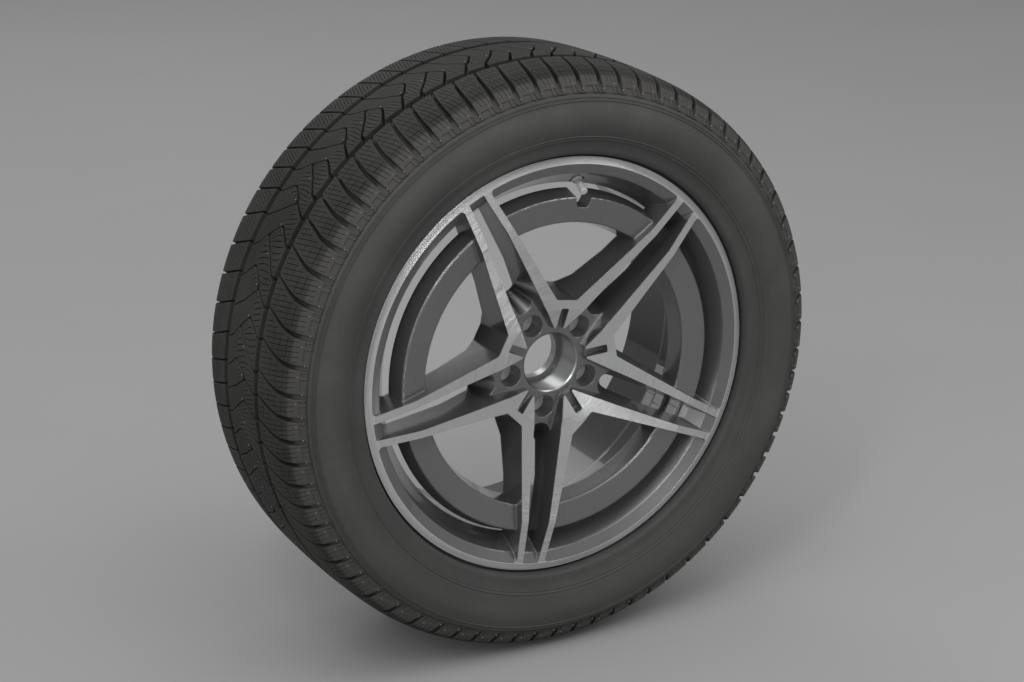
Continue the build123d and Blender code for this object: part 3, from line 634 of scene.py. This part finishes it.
# The grooves of the middle band over a group of three pitches: ways along the section with the pitch
# numbers there, and with half widths.
SLOT_A = ([172, 178, 206, 210, 231.5, 244, 257, 262], [0, -0.05, -0.58, -0.58, -0.15, 0.20, 0.38, 0.40])
SLOT_B = ([172, 186, 211, 229, 231.5, 244, 257, 262], [1, 0.94, 0.25, -0.12, -0.15, 0.20, 0.38, 0.40])
SLOT_C = (
    [172, 178, 202, 205, 228, 231.5, 252, 257, 262],
    [2, 1.94, 1.53, 1.38, 0.90, 0.86, 1.32, 1.38, 1.40],
)
BRANCH = ([172, 178, 202, 205, 223, 231, 257, 262], [2, 1.94, 1.53, 1.47, 1.82, 2.0, 2.38, 2.40])
SLOT_A_HALF = ([172, 190, 206, 211, 262], [2.9, 2.2, 1.6, 0.8, 0.9])
SLOT_B_HALF = SLOT_C_HALF = ([172, 190, 226, 232, 262], [2.9, 2.2, 1.4, 0.8, 0.9])
BRANCH_HALF = ([172, 190, 202, 206, 262], [2.9, 2.2, 1.6, 0.8, 0.9])
# Blocks of a group: the groove on either side with its half widths, how many pitches further on the
# second one is taken, and the ways at which the block starts and ends.
GROUP = 3
MIDDLE_BLOCKS = (
    (SLOT_A, SLOT_A_HALF, SLOT_B, SLOT_B_HALF, 0, 180.0, 225.5),
    (SLOT_B, SLOT_B_HALF, SLOT_C, SLOT_C_HALF, 0, 180.0, 257.5),
    (SLOT_C, SLOT_C_HALF, BRANCH, BRANCH_HALF, 0, 211.0, 257.5),
    (BRANCH, BRANCH_HALF, SLOT_A, SLOT_A_HALF, GROUP, 180.0, 257.5),
)
# Thin cuts of the middle band: how far one leans over the block's width, the space between two, half
# width, depth, least distance from each other, and the block's widths between which they reach that depth.
MIDDLE_LEAN, MIDDLE_SPACE, MIDDLE_HALF, MIDDLE_DEPTH, MIDDLE_APART = 32.0, 7.0, 0.65, 1.8, 0.02
MIDDLE_WIDTHS = (7, 12)
# Its blocks: columns between their edges as shares of the width, how far a wall leans out at its foot,
# the chamfer's width at the sides and at the ends, and the chamfer's drop.
MIDDLE_COLUMNS = np.linspace(0.12, 0.88, 6)
WALL_LEAN, SIDE_CHAMFER, END_CHAMFER, CHAMFER_DROP = 0.5, 0.7, 0.8, 0.6


def middle_block(left, left_half, right, right_half, right_shift, start, end):
    """One kind of block of the middle band, for all groups of three pitches.

    A grid whose sides follow the two grooves beside it. Its rows are thin cuts, three rows to a cut,
    that lean across the block and are held inside its two ends; the outer rows and columns fold down
    as its walls."""
    across = np.concatenate([[0, 0, 0], MIDDLE_COLUMNS, [1, 1, 1]])
    side = np.array([-WALL_LEAN, 0.0, SIDE_CHAMFER])
    inset = np.concatenate([side, 0 * MIDDLE_COLUMNS, -side[::-1]])
    inner = (across > 0) & (across < 1)
    line = np.arange(start - MIDDLE_LEAN, end, MIDDLE_SPACE)[:, None] + (-MIDDLE_HALF, 0.0, MIDDLE_HALF)
    number = np.arange(line.size)[:, None]
    way = line.reshape(-1, 1) + MIDDLE_LEAN * across
    held_low = start + CUT_MARGIN + MIDDLE_APART * number
    held_high = end - CUT_MARGIN - MIDDLE_APART * number[::-1]
    free = np.minimum(way - held_low, held_high - way)
    cut = np.where((number % 3 == 1) & inner, MIDDLE_DEPTH * np.clip(free, 0, 1), 0.0)
    way = np.clip(way, held_low, held_high)
    fold = np.outer([-WALL_LEAN, 0.0, END_CHAMFER], np.ones(len(across)))
    way = np.vstack([start + fold, way, end - fold[::-1]])
    fold_drop = [BLOCK_FOOT, -CHAMFER_DROP, 0.0]
    drop = np.concatenate([fold_drop, np.zeros(number.size), fold_drop[::-1]])[:, None]
    cut = np.pad(cut, ((len(fold), len(fold)), (0, 0)))

    group = GROUP * np.arange(PITCHES // GROUP)[:, None, None]
    degree = degrees_per_mm(way)
    low = turn_at(group + np.interp(way, *left)) + np.interp(way, *left_half) * degree
    high = turn_at(group + right_shift + np.interp(way, *right)) - np.interp(way, *right_half) * degree
    angle = low + across * (high - low) + inset * degree
    height = drop - cut * np.interp((high - low) / degree, MIDDLE_WIDTHS, (0, 1))
    height = np.where(np.abs(inset) == WALL_LEAN, BLOCK_FOOT, height)
    height = np.where((inset == 0) & ~inner, np.minimum(height, -CHAMFER_DROP), height)
    radius, outboard = section_at(way, height)
    points = round_axle(angle, radius, outboard)
    blocks, rows, columns = points.shape[:3]
    grid = np.arange(rows * columns).reshape(rows, columns)
    ring = np.concatenate([grid[0, :-1], grid[:-1, -1], grid[-1, :0:-1], grid[:0:-1, 0]])
    faces = repeated(grid_quads(rows, columns), blocks, rows * columns)
    return points.reshape(-1, 3), faces, repeated(ring[None], blocks, rows * columns)


# Vent stubs: way along the section and share of the pitch of each row of them, and a stub's rings as
# radii and heights.
STUB_PLACES = ((90.5, 1.09), (97.5, 0.5), (213.0, 0.38))
STUB_RINGS = np.array([(0.15, 0.9), (0.5, 0.75), (0.8, 0.35), (0.95, 0.0), (0.95, -0.5), (0.15, -0.5)])
STUB_SIDES = 8


def vent_stubs():
    """Small half-round stubs left on the blocks by the mould's vents.

    Each is a low dome over a disc on the section, of rings that widen as they go down; it closes
    underneath, inside the rubber."""
    pitch = FIRST_PITCH + np.arange(PITCHES)
    way = np.repeat([row for row, _ in STUB_PLACES], PITCHES)[:, None, None]
    angle = turn_at(np.concatenate([pitch + share for _, share in STUB_PLACES]))[:, None, None]
    ring, height = STUB_RINGS[:, :1], STUB_RINGS[:, 1:]
    around = full_turn(STUB_SIDES)
    radius, outboard = section_at(way + ring * np.cos(around), height)
    points = round_axle(angle + ring * np.sin(around) * degrees_per_mm(way), radius, outboard)
    stubs, rows, columns = points.shape[:3]
    faces = repeated(grid_quads(rows, columns, False, True), stubs, rows * columns)
    top, foot = np.arange(columns)[::-1], (rows - 1) * columns + np.arange(columns)
    caps = repeated(np.stack([top, foot]), stubs, rows * columns)
    return points.reshape(-1, 3), faces, caps


def build_tyre():
    """The tyre's pieces: body, two shoulder bands, the middle band and the vent stubs."""
    made = [make_piece("tyre_body", *tyre_body(), side_rubber, smooth_angle=50.0)]
    for name, style in SHOULDERS.items():
        band = joined([shoulder_band(style, pitch_is_long) for pitch_is_long in (False, True)])
        made.append(make_piece(name, *welded(*band), tread_rubber))
    for number, kind in enumerate(MIDDLE_BLOCKS, 1):
        points, faces, rings = middle_block(*kind)
        name = f"tread_middle_{number}"
        made.append(make_piece(name, points, faces, tread_rubber, caps=rings.tolist()))
    points, faces, caps = vent_stubs()
    # The stubs are light grey, far lighter than the tread: dust and a painted highlight on each.
    stub_dust_and_highlight = metal("stub_dust_and_highlight", (0.2, 0.2, 0.19), 0.6, metallic=0.0)
    made.append(make_piece("vent_stubs", points, faces, stub_dust_and_highlight, smooth_angle=60.0, caps=caps.tolist()))
    for piece in made:
        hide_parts("tyre")


def build_spring():
    """The coil spring under the valve pin, which the pin presses together.

    Its wire is a tube round a screw line about the valve's axis: the tube's circle stands on the
    radius and on the cross product of the line's direction with it. Sizes are in millimetres."""
    coil, wire, low, high, turns, travel = 2.1, 0.25, 8.6, 13.4, 4, 1.5
    steps, sides = 24, 8
    turn = np.linspace(0, 2 * np.pi * turns, steps * turns + 1)[:, None]
    out = np.hstack([np.cos(turn), np.sin(turn), 0 * turn])
    rise = (high - low - 2 * wire) / (2 * np.pi * turns)
    ahead = np.hstack([-coil * np.sin(turn), coil * np.cos(turn), 0 * turn + rise])
    ahead /= np.linalg.norm(ahead, axis=1)[:, None]
    side = np.cross(ahead, out)
    line = coil * out + np.hstack([0 * turn, 0 * turn, low + wire + rise * turn])
    around = full_turn(sides)[None, :, None]
    tube = line[:, None] + wire * (np.cos(around) * out[:, None] + np.sin(around) * side[:, None])
    axis = np.array(VALVE_AXIS)
    across = np.cross((0, 1, 0), axis)
    across /= np.linalg.norm(across)
    upright = np.stack([across, np.cross(axis, across), axis])
    points = np.array(VALVE_SEAT) + tube.reshape(-1, 3) * MM @ upright
    ring = np.arange(sides)
    caps = [ring[::-1].tolist(), (len(points) - sides + ring).tolist()]
    faces = grid_quads(len(turn), sides, False, True)
    steel = finishes["spring_steel"]
    spring = make_piece("coil_spring", points, faces, steel, smooth_angle=60.0, caps=caps)
    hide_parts("valve_core_spring")
    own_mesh(spring)


def build_floor():
    """A wide pale floor just under the tyre: a disc in metres."""
    radius, gap, steps = 14, 0.5 * MM, 96
    material, wire, output = new_material("floor_grey")
    tone = object_spot(wire).noise(3.0)
    shader = surface(wire, Base_Color=tone.mix(grey(0.36), grey(0.38)), Roughness=0.8)
    wire.tree.links.new(shader.socket, output.inputs["Surface"])
    angle = full_turn(steps)
    level = np.full(steps, cad_low.z - gap)
    rim = np.stack([radius * np.cos(angle), radius * np.sin(angle), level], -1)
    mesh = bpy.data.meshes.new("floor")
    mesh.from_pydata(rim.tolist(), [], [list(range(steps))])
    mesh.materials.append(material)
    floor = bpy.data.objects.new("floor", mesh)
    bpy.context.scene.collection.objects.link(floor)


# Soft boxes above, left, right and behind, a narrow one over the camera and a low one in front:
# place, width and height in metres, and watts.
SOFT_BOXES = {
    "top_box": ((-0.6, -1.2, 3.4), 3.4, 2.8, 36),
    "left_box": ((-3.4, -1.6, 1.4), 1.6, 2.6, 21),
    "right_box": ((2.9, -1.9, 2.9), 1.6, 2.2, 36),
    "back_box": ((0.2, 3.5, 2.4), 1.6, 2.2, 19),
    "strip_box": ((-1.8, -1.9, 2.3), 0.3, 1.6, 22),
    "front_box": ((0.35, -3.9, 0.4), 0.7, 0.9, 15),
}


def soft_box(name, spot, width, height, watts):
    """A soft light that looks at the wheel's middle and doesn't show itself to the camera."""
    lamp = bpy.data.lights.new(name, "AREA")
    lamp.shape, lamp.size, lamp.size_y = "RECTANGLE", width, height
    lamp.energy = watts
    holder = bpy.data.objects.new(name, lamp)
    holder.location = spot
    holder.rotation_euler = (-Vector(spot)).to_track_quat("-Z", "Y").to_euler()
    holder.visible_camera = False
    bpy.context.scene.collection.objects.link(holder)


def build_light():
    """The soft boxes in an even grey surround."""
    world = bpy.data.worlds.new("studio")
    world.use_nodes = True
    world.node_tree.nodes["Background"].inputs["Color"].default_value = grey(0.43)
    bpy.context.scene.world = world
    for name, box in SOFT_BOXES.items():
        soft_box(name, *box)


def build_camera():
    """The photograph's camera: level, about 29 degrees to the left of the axle and 19 degrees up."""
    camera = bpy.data.cameras.new("camera")
    camera.sensor_width, camera.lens = 36.0, 89.2
    camera.sensor_fit = "HORIZONTAL"
    holder = bpy.data.objects.new("camera", camera)
    spot, aim = Vector((-1.4476, -2.6109, 1.0265)), Vector((-0.0447, -0.0756, 0.0299))
    holder.location = spot
    holder.rotation_euler = (aim - spot).to_track_quat("-Z", "Y").to_euler()
    bpy.context.scene.collection.objects.link(holder)
    bpy.context.scene.camera = holder


build_tyre()
build_spring()
build_floor()
build_light()
build_camera()
bpy.context.scene.view_settings.view_transform = "Standard"
